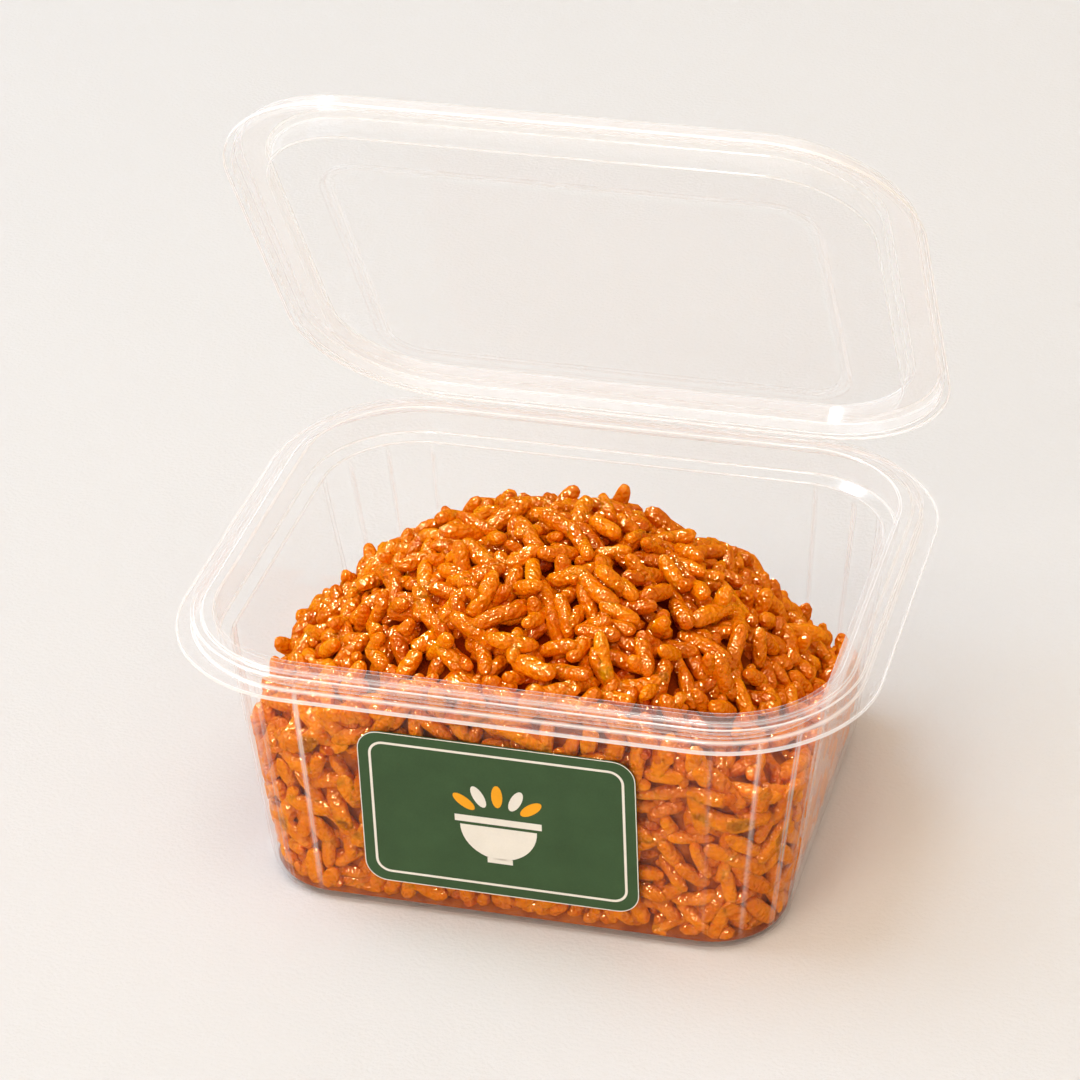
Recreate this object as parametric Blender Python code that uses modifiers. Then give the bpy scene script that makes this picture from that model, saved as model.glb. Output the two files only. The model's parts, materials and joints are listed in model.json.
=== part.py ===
"""A hinged clear deli tub holding a heap of jollof rice, with its lid standing open.

Origin: centre of the tub's foot, where it stands. +Z up, the front wall faces -Y,
and the live hinge runs along X behind the back wall. Lengths below are in millimetres.
"""

import math

import bmesh
import bpy
import numpy as np

MM = 0.001

# Tub: outer edge of the flange, then what is measured inward or upward from it.
FLANGE_HALF_X = 69.0
FLANGE_HALF_Y = 57.0
FLANGE_CORNER_R = 30.0
FLANGE_TOP_Z = 54.6
RIM_TOP_Z = 58.0
RIM_STEP = 0.5
RIM_ROUND = 0.8
SHEET = 0.7
BEAD_OUTER_INSET = 3.0
BEAD_STEP_INSET = 5.0
BEAD_INNER_INSET = 7.9
SEAT_INSET = 8.7
SEAT_Z = 52.4
WALL_TOP_INSET = 11.0
WALL_TOP_Z = 51.4
FOOT_HALF_X = 51.3
FOOT_HALF_Y = 44.5
FOOT_CORNER_R = 14.5
FOOT_FILLET = 2.6
FOOT_FILLET_STEPS = 2
FOOT_GROOVE_IN = 11.0
FOOT_GROOVE_OUT = 6.5
FOOT_GROOVE_RISE = 0.9
GROOVE_SLOPE = 1.0

# Stiffening ridges down each corner of the tub.
RIDGE_HEIGHT = 0.6
RIDGE_RUN_OUT = 4.0
RIDGE_HALF_DEG = 4.0
RIDGE_ANGLES = (5.0, 32.0, 58.0, 85.0)
PLAIN_CORNER_STEPS = 7

# Lid, in its shut position relative to the hinge axis.
LID_SHEET = 0.6
LID_GAP = 0.3
LID_EDGE_INSET = 0.5
LID_RISER_INSET = 2.5
LID_CROWN_Z = 3.8
LID_CROWN_INSET = 8.9
LID_PLUG_INSET = 9.4
LID_PANEL_Z = -1.4
LID_MARK_INSET = 20.0
LID_MARK_WIDTH = 2.4
LID_MARK_RISE = 0.9
LID_OPEN_DEG = 58.0

# Live hinge: a bead along the back of the tub's flange.
HINGE_OFFSET = 0.4
HINGE_BEAD_R = 0.55
HINGE_LENGTH = 74.0

# Label on the front wall.
LABEL_WIDTH = 54.6
LABEL_HEIGHT = 35.5
LABEL_CORNER_R = 4.5
LABEL_CENTRE_X = -1.3
LABEL_CENTRE_Z = 25.0
LABEL_THICKNESS = 0.3
LABEL_GAP = 0.2

# Rice: a dome whose reach differs to the sides, front and back.
RICE_GAP = 0.3
HEAP_TOP_Z = 69.0
HEAP_EDGE_Z = 37.0
HEAP_FLOOR_Z = 29.0
HEAP_CENTRE = (2.5, -8.0)
HEAP_REACH_X = 55.5
HEAP_REACH_FRONT = 52.5
HEAP_REACH_BACK = 44.0
HEAP_SQUARENESS = 2.7
HEAP_FULLNESS = 2.4
GRAIN_HALF_LENGTH = 6.0
GRAIN_HALF_WIDTH = 2.8
GRAIN_RELIEF = 2.8
GRAIN_SINK = 1.3
GRAIN_COUNT = 480
HEAP_GRID = 2.6
HEAP_HEADROOM = 12.0
SEED = 7


def collection(name):
    """A new collection linked to the scene."""
    made = bpy.data.collections.new(name)
    bpy.context.scene.collection.children.link(made)
    return made


def material(name, colour, roughness, transmission=0.0, ior=1.45):
    """A Principled material of one colour."""
    made = bpy.data.materials.new(name)
    made.use_nodes = True
    shader = made.node_tree.nodes["Principled BSDF"]
    shader.inputs["Base Color"].default_value = (*colour, 1.0)
    shader.inputs["Roughness"].default_value = roughness
    shader.inputs["Metallic"].default_value = 0.0
    shader.inputs["Transmission Weight"].default_value = transmission
    shader.inputs["IOR"].default_value = ior
    return made


def add_object(name, mesh, group, finish=None):
    """Link a mesh to a collection as a named object."""
    made = bpy.data.objects.new(name, mesh)
    group.objects.link(made)
    if finish:
        mesh.materials.append(finish)
    return made


def plain_corner():
    """Evenly spaced angles round one corner."""
    return [90.0 * i / PLAIN_CORNER_STEPS for i in range(PLAIN_CORNER_STEPS + 1)]


def ridged_corner():
    """Angles round one corner where each ridge starts, peaks and ends."""
    return [r + k * RIDGE_HALF_DEG for r in RIDGE_ANGLES for k in (-1, 0, 1)]


def ring(half_x, half_y, radius, z, angles, ridge=0.0):
    """Points of a rounded rectangle, with its corners' ridges standing out by `ridge`."""
    points = []
    for quarter, (sx, sy) in enumerate(((1, 1), (-1, 1), (-1, -1), (1, -1))):
        for angle in angles:
            peak = ridge if angle in RIDGE_ANGLES else 0.0
            turn = math.radians(angle + 90.0 * quarter)
            reach = radius + peak
            x = sx * (half_x - radius) + reach * math.cos(turn)
            y = sy * (half_y - radius) + reach * math.sin(turn)
            points.append((x * MM, y * MM, z * MM))
    return points


def loft(name, rings, cap_first=True, cap_last=False):
    """Join rings of equal length with quads; the first or last may be closed by a face."""
    form = bmesh.new()
    rows = [[form.verts.new(point) for point in points] for points in rings]
    for lower, upper in zip(rows, rows[1:]):
        count = len(lower)
        for i in range(count):
            j = (i + 1) % count
            form.faces.new((lower[i], lower[j], upper[j], upper[i]))
    if cap_first:
        form.faces.new(list(reversed(rows[0])))
    if cap_last:
        form.faces.new(rows[-1])
    mesh = bpy.data.meshes.new(name)
    form.to_mesh(mesh)
    form.free()
    return mesh


def solidify(thing, thickness, offset):
    """Give an open surface its sheet thickness."""
    shell = thing.modifiers.new("sheet", "SOLIDIFY")
    shell.thickness = thickness * MM
    shell.offset = offset
    shell.use_even_offset = True
    shell.use_rim = True


def flange_ring(inset, z, angles):
    """A ring parallel to the flange's outer edge."""
    return ring(FLANGE_HALF_X - inset, FLANGE_HALF_Y - inset, FLANGE_CORNER_R - inset, z, angles)


def wall_size(z, inward=0.0):
    """Half sizes and corner radius of the tub's inner wall face at a height."""
    t = (z - FOOT_FILLET) / (WALL_TOP_Z - FOOT_FILLET)
    top = (FLANGE_HALF_X - WALL_TOP_INSET, FLANGE_HALF_Y - WALL_TOP_INSET, FLANGE_CORNER_R - WALL_TOP_INSET)
    foot = (FOOT_HALF_X, FOOT_HALF_Y, FOOT_CORNER_R)
    return [f + (a - f) * t - inward for a, f in zip(top, foot)]


def foot_ring(inset, z, angles):
    """A ring on the tub's floor, inset from the foot's outline."""
    return ring(FOOT_HALF_X - inset, FOOT_HALF_Y - inset, max(FOOT_CORNER_R - inset, 2.0), z, angles)


def foot_fillet(angles, inward=0.0, lift=0.0):
    """Rings that round the floor into the wall."""
    rings = []
    for i in range(FOOT_FILLET_STEPS):
        turn = math.radians(90.0 * i / FOOT_FILLET_STEPS)
        inset = FOOT_FILLET * (1 - math.sin(turn)) + inward
        z = SHEET + lift + (FOOT_FILLET - SHEET) * (1 - math.cos(turn))
        rings.append(foot_ring(inset, z, angles))
    return rings


def tub_rings():
    """Inner face of the tub, from the middle of its floor out to the flange's edge."""
    corner = ridged_corner()
    groove = SHEET + FOOT_GROOVE_RISE
    floor = ((FOOT_GROOVE_IN + GROOVE_SLOPE, SHEET), (FOOT_GROOVE_IN, groove))
    floor += ((FOOT_GROOVE_OUT, groove), (FOOT_GROOVE_OUT - GROOVE_SLOPE, SHEET))
    rings = [foot_ring(inset, z, corner) for inset, z in floor] + foot_fillet(corner)
    ridged_from, ridged_to = FOOT_FILLET + RIDGE_RUN_OUT, WALL_TOP_Z - RIDGE_RUN_OUT
    for z, ridge in ((FOOT_FILLET, 0.0), (ridged_from, 1.0), (ridged_to, 1.0), (WALL_TOP_Z, 0.0)):
        rings.append(ring(*wall_size(z), z, corner, ridge * RIDGE_HEIGHT))
    step_z = RIM_TOP_Z - RIM_STEP
    rim = ((SEAT_INSET + 1.0, SEAT_Z - 0.4), (SEAT_INSET, SEAT_Z))
    rim += ((BEAD_INNER_INSET + 0.3, RIM_TOP_Z - RIM_ROUND), (BEAD_INNER_INSET - 0.5, RIM_TOP_Z))
    rim += ((BEAD_STEP_INSET, RIM_TOP_Z), (BEAD_STEP_INSET - 0.4, step_z))
    rim += ((BEAD_OUTER_INSET + RIM_ROUND, step_z), (BEAD_OUTER_INSET, step_z - RIM_ROUND))
    rim += ((BEAD_OUTER_INSET, FLANGE_TOP_Z), (0.0, FLANGE_TOP_Z))
    return rings + [flange_ring(inset, z, corner) for inset, z in rim]


def make_hinge_bead(cutters):
    """The rounded bar along the tub's back flange that the lid swings about."""
    form = bmesh.new()
    bmesh.ops.create_cone(
        form, cap_ends=True, segments=12, radius1=HINGE_BEAD_R * MM, radius2=HINGE_BEAD_R * MM, depth=HINGE_LENGTH * MM
    )
    mesh = bpy.data.meshes.new("hinge_bead")
    form.to_mesh(mesh)
    form.free()
    bead = add_object("hinge_bead", mesh, cutters)
    bead.rotation_euler = (0.0, math.radians(90.0), 0.0)
    bead.location = hinge_point()
    bead.hide_render = True
    bead.display_type = "WIRE"
    return bead


def hinge_point():
    """A point on the lid's hinge axis, in metres."""
    return (0.0, (FLANGE_HALF_Y + HINGE_OFFSET) * MM, FLANGE_TOP_Z * MM)


def make_tub(group, cutters, film):
    """The thermoformed tub, with its hinge bead joined on."""
    tub = add_object("tub", loft("tub", tub_rings()), group, film)
    solidify(tub, SHEET, 1.0)
    join = tub.modifiers.new("hinge", "BOOLEAN")
    join.operation = "UNION"
    join.solver = "EXACT"
    join.object = make_hinge_bead(cutters)
    return tub


def lid_ring(inset, z):
    """A ring of the shut lid, relative to the hinge axis."""
    shift = -(FLANGE_HALF_Y + HINGE_OFFSET) * MM
    return [(x, y + shift, w) for x, y, w in flange_ring(inset, z, plain_corner())]


def lid_rings():
    """Underside of the lid, from the middle of its panel out to its flange's edge."""
    mark_z = LID_PANEL_Z + LID_MARK_RISE
    panel = ((LID_MARK_INSET + LID_MARK_WIDTH, LID_PANEL_Z), (LID_MARK_INSET + 0.7 * LID_MARK_WIDTH, mark_z))
    panel += ((LID_MARK_INSET + 0.3 * LID_MARK_WIDTH, mark_z), (LID_MARK_INSET, LID_PANEL_Z))
    plug = ((LID_PLUG_INSET + RIM_ROUND, LID_PANEL_Z), (LID_PLUG_INSET, LID_PANEL_Z + RIM_ROUND))
    crown = ((LID_CROWN_INSET, LID_CROWN_Z - RIM_ROUND), (LID_CROWN_INSET - RIM_ROUND, LID_CROWN_Z))
    crown += ((LID_RISER_INSET + RIM_ROUND, LID_CROWN_Z), (LID_RISER_INSET, LID_CROWN_Z - RIM_ROUND))
    flange = ((LID_RISER_INSET, LID_GAP), (LID_EDGE_INSET, LID_GAP))
    return [lid_ring(inset, z) for inset, z in panel + plug + crown + flange]


def make_lid(group, film):
    """The plug lid, modelled shut about the hinge axis and swung open with its empty."""
    axis = bpy.data.objects.new("lid_hinge_axis", None)
    group.objects.link(axis)
    axis.location = hinge_point()
    axis.rotation_euler = (math.radians(-LID_OPEN_DEG), 0.0, 0.0)
    lid = add_object("lid", loft("lid", lid_rings()), group, film)
    solidify(lid, LID_SHEET, -1.0)
    lid.parent = axis
    return lid


def wall_front_y(z):
    """Outer face of the front wall at a height, in millimetres."""
    return -(wall_size(z)[1] + SHEET)


def make_label(group, paper):
    """The label: a rounded plate that leans with the front wall."""
    low, high = LABEL_CENTRE_Z - 0.5 * LABEL_HEIGHT, LABEL_CENTRE_Z + 0.5 * LABEL_HEIGHT
    lean = math.atan2(wall_front_y(low) - wall_front_y(high), high - low)
    outline = bpy.data.curves.new("label_outline", "CURVE")
    outline.dimensions = "2D"
    outline.fill_mode = "BOTH"
    outline.extrude = 0.5 * LABEL_THICKNESS * MM
    spline = outline.splines.new("POLY")
    points = label_outline()
    spline.points.add(len(points) - 1)
    for point, (x, y) in zip(spline.points, points):
        point.co = (x * MM, y * MM, 0.0, 1.0)
    spline.use_cyclic_u = True
    shape = bpy.data.objects.new("label_shape", outline)
    group.objects.link(shape)
    mesh = bpy.data.meshes.new_from_object(shape.evaluated_get(bpy.context.evaluated_depsgraph_get()))
    bpy.data.objects.remove(shape)
    weld(mesh)
    label = add_object("label", mesh, group, paper)
    stand_off = LABEL_GAP + 0.5 * LABEL_THICKNESS
    y = wall_front_y(LABEL_CENTRE_Z) - stand_off * math.cos(lean)
    label.location = (LABEL_CENTRE_X * MM, y * MM, (LABEL_CENTRE_Z - stand_off * math.sin(lean)) * MM)
    label.rotation_euler = (math.radians(90.0) + lean, 0.0, 0.0)
    return label


def weld(mesh):
    """Close the loose caps that a curve leaves."""
    form = bmesh.new()
    form.from_mesh(mesh)
    bmesh.ops.remove_doubles(form, verts=form.verts, dist=1e-6)
    form.to_mesh(mesh)
    form.free()


def label_outline(steps=5):
    """Flat outline of the label, in millimetres."""
    points = []
    half_w, half_h = 0.5 * LABEL_WIDTH, 0.5 * LABEL_HEIGHT
    for quarter, (sx, sy) in enumerate(((1, 1), (-1, 1), (-1, -1), (1, -1))):
        for i in range(steps + 1):
            turn = math.radians(90.0 * (quarter + i / steps))
            x = sx * (half_w - LABEL_CORNER_R) + LABEL_CORNER_R * math.cos(turn)
            points.append((x, sy * (half_h - LABEL_CORNER_R) + LABEL_CORNER_R * math.sin(turn)))
    return points


def heap_height(x, y):
    """Smooth height of the heaped rice, in millimetres, over arrays of places."""
    reach_y = np.where(y < HEAP_CENTRE[1], HEAP_REACH_FRONT, HEAP_REACH_BACK)
    u = np.abs((x - HEAP_CENTRE[0]) / HEAP_REACH_X)
    v = np.abs((y - HEAP_CENTRE[1]) / reach_y)
    out = (u**HEAP_SQUARENESS + v**HEAP_SQUARENESS) ** (1.0 / HEAP_SQUARENESS)
    dome = HEAP_EDGE_Z + (HEAP_TOP_Z - HEAP_EDGE_Z) * (1.0 - out**HEAP_FULLNESS)
    return np.maximum(dome, HEAP_FLOOR_Z)


def grain_relief(x, y):
    """Lumps of loose grains over the heap, in millimetres."""
    rng = np.random.RandomState(SEED)
    relief = np.zeros_like(x)
    for _ in range(GRAIN_COUNT):
        cx, cy = rng.uniform(-FLANGE_HALF_X, FLANGE_HALF_X), rng.uniform(-FLANGE_HALF_Y, FLANGE_HALF_Y)
        turn, tall = rng.uniform(0.0, math.pi), rng.uniform(0.55, 1.0)
        along = (x - cx) * math.cos(turn) + (y - cy) * math.sin(turn)
        across = (y - cy) * math.cos(turn) - (x - cx) * math.sin(turn)
        near = 1.0 - (along / GRAIN_HALF_LENGTH) ** 2 - (across / GRAIN_HALF_WIDTH) ** 2
        relief = np.maximum(relief, GRAIN_RELIEF * tall * np.sqrt(np.clip(near, 0.0, 1.0)))
    return relief - GRAIN_SINK


def make_heap_cutter(cutters):
    """A block whose top is the heap's uneven surface."""
    half_x, half_y = FLANGE_HALF_X - 5.0, FLANGE_HALF_Y - 5.0
    nx, ny = int(2 * half_x / HEAP_GRID), int(2 * half_y / HEAP_GRID)
    form = bmesh.new()
    bmesh.ops.create_grid(form, x_segments=nx, y_segments=ny, size=1.0)
    places = np.array([vert.co for vert in form.verts])
    x, y = places[:, 0] * half_x, places[:, 1] * half_y
    z = heap_height(x, y) + grain_relief(x, y)
    for vert, px, py, pz in zip(form.verts, x, y, z):
        vert.co = (px * MM, py * MM, pz * MM)
    edge = [e for e in form.edges if e.is_boundary]
    skirt = bmesh.ops.extrude_edge_only(form, edges=edge)["geom"]
    lowered = [item for item in skirt if isinstance(item, bmesh.types.BMVert)]
    for vert in lowered:
        vert.co.z = -5.0 * MM
    bmesh.ops.contextual_create(form, geom=[e for e in form.edges if e.is_boundary])
    bmesh.ops.recalc_face_normals(form, faces=form.faces)
    mesh = bpy.data.meshes.new("heap_surface")
    form.to_mesh(mesh)
    form.free()
    cutter = add_object("heap_surface", mesh, cutters)
    cutter.hide_render = True
    cutter.display_type = "WIRE"
    return cutter


def rice_rings():
    """Rings of the tub's filling, a gap inside its wall, from the floor to above the heap."""
    corner, lift = plain_corner(), FOOT_GROOVE_RISE + RICE_GAP
    rings = foot_fillet(corner, RICE_GAP, lift)
    top = wall_size(WALL_TOP_Z - 1.0, RICE_GAP)
    for z in (FOOT_FILLET + lift, 0.5 * WALL_TOP_Z, WALL_TOP_Z - 1.0):
        rings.append(ring(*wall_size(z, RICE_GAP), z, corner))
    rings.append(ring(*top, HEAP_TOP_Z + HEAP_HEADROOM, corner))
    return rings


def make_rice(group, cutters, food):
    """The rice: the tub's filling, cut to the heap's surface."""
    rice = add_object("rice", loft("rice", rice_rings(), cap_last=True), group, food)
    cut = rice.modifiers.new("heap", "BOOLEAN")
    cut.operation = "INTERSECT"
    cut.solver = "EXACT"
    cut.object = make_heap_cutter(cutters)
    return rice


def build():
    """Make every part of the filled tub."""
    for thing in list(bpy.data.objects):
        bpy.data.objects.remove(thing)
    group = collection("jollof_rice_tub")
    cutters = collection("cutters")
    tub_film = material("clear_tub_film", (0.93, 0.95, 0.95), 0.06, 1.0, 1.57)
    lid_film = material("clear_lid_film", (0.94, 0.96, 0.96), 0.06, 1.0, 1.57)
    food = material("tomato_rice", (0.86, 0.24, 0.02), 0.35)
    paper = material("label_paper", (0.04, 0.09, 0.04), 0.5)
    make_tub(group, cutters, tub_film)
    make_rice(group, cutters, food)
    make_label(group, paper)
    make_lid(group, lid_film)
    bpy.context.view_layer.update()


build()
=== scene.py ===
import json
import math

import bmesh
import bpy
import numpy as np
from mathutils import Matrix, Vector, noise

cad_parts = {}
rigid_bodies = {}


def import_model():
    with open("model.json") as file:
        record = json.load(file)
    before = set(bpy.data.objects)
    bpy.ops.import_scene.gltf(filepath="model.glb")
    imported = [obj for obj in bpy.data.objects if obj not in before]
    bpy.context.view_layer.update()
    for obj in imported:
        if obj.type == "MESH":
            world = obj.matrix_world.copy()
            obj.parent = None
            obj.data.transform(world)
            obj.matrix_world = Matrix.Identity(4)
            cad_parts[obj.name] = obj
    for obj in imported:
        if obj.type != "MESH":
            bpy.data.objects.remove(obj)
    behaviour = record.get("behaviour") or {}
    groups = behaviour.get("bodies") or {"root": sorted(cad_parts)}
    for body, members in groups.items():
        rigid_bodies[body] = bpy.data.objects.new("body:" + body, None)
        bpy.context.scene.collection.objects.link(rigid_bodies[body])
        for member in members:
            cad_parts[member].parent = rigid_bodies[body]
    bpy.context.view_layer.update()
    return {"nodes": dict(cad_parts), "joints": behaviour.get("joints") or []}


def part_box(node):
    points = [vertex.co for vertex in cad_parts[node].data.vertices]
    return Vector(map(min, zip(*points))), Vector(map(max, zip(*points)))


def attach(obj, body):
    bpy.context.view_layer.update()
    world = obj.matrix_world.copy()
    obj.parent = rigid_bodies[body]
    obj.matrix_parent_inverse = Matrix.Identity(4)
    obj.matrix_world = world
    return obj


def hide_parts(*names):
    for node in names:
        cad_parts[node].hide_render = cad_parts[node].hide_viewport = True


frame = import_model()
mm = 0.001
print("frame loaded:", sorted(frame["nodes"]))


# small helpers

def hexColor(code):
    # sRGB hex to the linear values that shaders use
    parts = [int(code[i:i + 2], 16) / 255.0 for i in (1, 3, 5)]
    linear = [c / 12.92 if c <= 0.04045 else ((c + 0.055) / 1.055) ** 2.4 for c in parts]
    return (*linear, 1.0)


def addNode(tree, kind, settings=None, links=None):
    # settings: property names or input names/indices to values; links: input to the socket that feeds it
    node = tree.nodes.new(kind)
    for name, value in (settings or {}).items():
        if isinstance(name, str) and hasattr(node, name):
            setattr(node, name, value)
        else:
            node.inputs[name].default_value = value
    for name, socket in (links or {}).items():
        tree.links.new(socket, node.inputs[name])
    return node


def newMaterial(name):
    made = bpy.data.materials.new(name)
    made.use_nodes = True
    made.node_tree.nodes.clear()
    return made, made.node_tree


def linkObject(name, data):
    made = bpy.data.objects.new(name, data)
    bpy.context.scene.collection.objects.link(made)
    return made


def meshFromLoft(name, rows, capFirst=True, capLast=False, whitesAndPaintedHighlights=None):
    # rows of equal length, each closed on itself, joined by quads;
    # the last argument says how white the sheet is at each point: partly its whitening over bends, partly painted
    # highlight
    form = bmesh.new()
    rings = [[form.verts.new(Vector(p) * mm) for p in row] for row in rows]
    for lower, upper in zip(rings, rings[1:]):
        for i in range(len(lower)):
            j = (i + 1) % len(lower)
            form.faces.new((lower[i], lower[j], upper[j], upper[i]))
    if capFirst:
        form.faces.new(list(reversed(rings[0])))
    if capLast:
        form.faces.new(rings[-1])
    mesh = bpy.data.meshes.new(name)
    form.to_mesh(mesh)
    form.free()
    if whitesAndPaintedHighlights is not None:
        stored = mesh.attributes.new("bend", "FLOAT", "POINT")
        stored.data.foreach_set("value", np.array(whitesAndPaintedHighlights, float).ravel())
    return mesh


def bakedMesh(thing, name):
    # the evaluated shape as a plain mesh, and the live object gone
    bpy.context.view_layer.update()
    graph = bpy.context.evaluated_depsgraph_get()
    mesh = bpy.data.meshes.new_from_object(thing.evaluated_get(graph))
    mesh.name = name
    bpy.data.objects.remove(thing)
    return mesh


def sheetMesh(name, rows, whitesAndPaintedHighlights, thickness, offset):
    # lofted rows given the sheet's thickness, as a plain mesh
    shell = linkObject(name + "Shell", meshFromLoft(name + "Shell", rows, whitesAndPaintedHighlights=whitesAndPaintedHighlights))
    sheet = shell.modifiers.new("sheet", "SOLIDIFY")
    sheet.thickness = thickness * mm
    sheet.offset = offset
    sheet.use_even_offset = True
    return bakedMesh(shell, name)


def smoothShade(mesh, sharpDeg=40.0):
    # smooth, but for edges sharper than an angle
    mesh.shade_smooth()
    mesh.set_sharp_from_angle(angle=math.radians(sharpDeg))


# sizes shared by the pieces, in millimetres

hinge = frame["joints"][0]
hingeY, hingeZ = hinge["pos_m"][1] / mm, hinge["pos_m"][2] / mm
tubLow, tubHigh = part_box("tub")
flangeX = tubHigh.x / mm
flangeY = -tubLow.y / mm
rimZ = tubHigh.z / mm

tubValues = {
    "cornerRadius": 30.0,
    "sheet": 0.7,
    "flangeDrop": 3.4,        # flange below the rim's top
    "rimStep": 0.5,
    "rimOuter": 3.0,          # insets from the flange's edge
    "rimStepAt": 5.0,
    "rimStepRun": 0.3,
    "rimInner": 7.9,
    "seatInset": 8.7,
    "seatZ": 52.4,
    "wallTopInset": 11.0,
    "wallTopZ": 51.4,
    "footX": 51.3,
    "footY": 44.5,
    "footRadius": 14.5,
    "footFillet": 2.6,
    "grooveRise": 0.9,
    "grooveIn": 11.0,
    "grooveOut": 6.5,
    "grooveSlope": 1.0,
    "ridgeHeight": 0.55,
    "ridgeWidthDeg": 1.6,
    "ridgePointsDeg": (-2.6, -1.1, -0.35, 0.0, 0.35, 1.1, 2.6),   # points of the mesh about each rib
    "ridgeAngles": (5.0, 32.0, 58.0, 85.0),
    # painted highlight on each corner's ribs, how white each rib is, from the back right corner round by the left
    "ridgeWhite": ((0.2, 0.4, 0.5, 0.3), (0.2, 0.3, 0.3, 0.2), (0.2, 0.4, 0.4, 0.8), (0.1, 0.5, 0.7, 0.4)),
    "ridgeFootWhite": 0.35,   # share of that painted highlight left at the foot
    "ridgeSharp": 11.0,       # how much narrower the white line is than the rib
    "ridgeRunOut": 4.0,
    "rimWhite": 0.045,
    "edgeWhite": 0.45,        # width of the painted highlight along the flange's edge
    "cornerStepDeg": 3.0,
    "hingeBead": 0.55,        # radius
    "hingeLength": 74.0,
    "hingeSides": 20,
}
flangeZ = rimZ - tubValues["flangeDrop"]


def ridgeAt(angle, weights=(1.0, 1.0, 1.0, 1.0), sharp=1.0):
    # how much a corner's ribs stand out at an angle of the corner
    v = tubValues
    return sum(
        w * math.exp(-sharp * ((angle - a) / v["ridgeWidthDeg"]) ** 2)
        for a, w in zip(v["ridgeAngles"], weights)
    )


def roundRect(halfX, halfY, radius, z, angles, ridge=0.0):
    # a rounded rectangle seen from above, anticlockwise, with points at given angles of each corner
    points = []
    for quarter, (sx, sy) in enumerate(((1, 1), (-1, 1), (-1, -1), (1, -1))):
        for angle in angles:
            reach = radius + (ridge * ridgeAt(angle) if ridge else 0.0)
            turn = math.radians(90.0 * quarter + angle)
            x = sx * (halfX - radius) + reach * math.cos(turn)
            points.append((x, sy * (halfY - radius) + reach * math.sin(turn), z))
    return points


def ribbedAngles():
    # a corner's angles, close together about each rib
    v = tubValues
    plain = [v["cornerStepDeg"] * i for i in range(round(90.0 / v["cornerStepDeg"]) + 1)]
    close = [a + d for a in v["ridgeAngles"] for d in v["ridgePointsDeg"]]
    return sorted(set(round(a, 3) for a in plain + close))


def roundedPath(path, steps=4):
    # each point of the path ends with its rounding and how white the sheet is there, partly whitening and partly
    # painted highlight;
    # gives the rounded path and the whiteness along it
    most, least = 0.48, 1e-6   # longest rounding as a share of a side, and the shortest side
    points = [np.array(p[:-2], float) for p in path]
    made, whites = [points[0]], [path[0][-1]]
    for before, here, after, (*_, radius, white) in zip(points, points[1:], points[2:], path[1:]):
        if not radius:
            made.append(here)
            whites.append(white)
            continue
        into, out = here - before, after - here
        a = here - into * min(most, radius / max(np.linalg.norm(into), least))
        b = here + out * min(most, radius / max(np.linalg.norm(out), least))
        for i in range(steps + 1):
            t = i / steps
            made.append((1 - t) ** 2 * a + 2 * t * (1 - t) * here + t * t * b)
            whites.append(white * math.sin(math.pi * t) ** 2)
    return made + [points[-1]], whites + [path[-1][-1]]


def wallSize(z):
    # half sizes and corner radius of the tub's inner face, at a height or an array of heights
    v = tubValues
    t = (z - v["footFillet"]) / (v["wallTopZ"] - v["footFillet"])
    foot = (v["footX"], v["footY"], v["footRadius"])
    return [f + (a - f) * t for a, f in zip(flangeSize(v["wallTopInset"]), foot)]


def flangeSize(inset):
    return [flangeX - inset, flangeY - inset, tubValues["cornerRadius"] - inset]


def footSize(inset, leastRadius=2.0):
    v = tubValues
    return [v["footX"] - inset, v["footY"] - inset, max(v["footRadius"] - inset, leastRadius)]


# the tub's clear film

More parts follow.
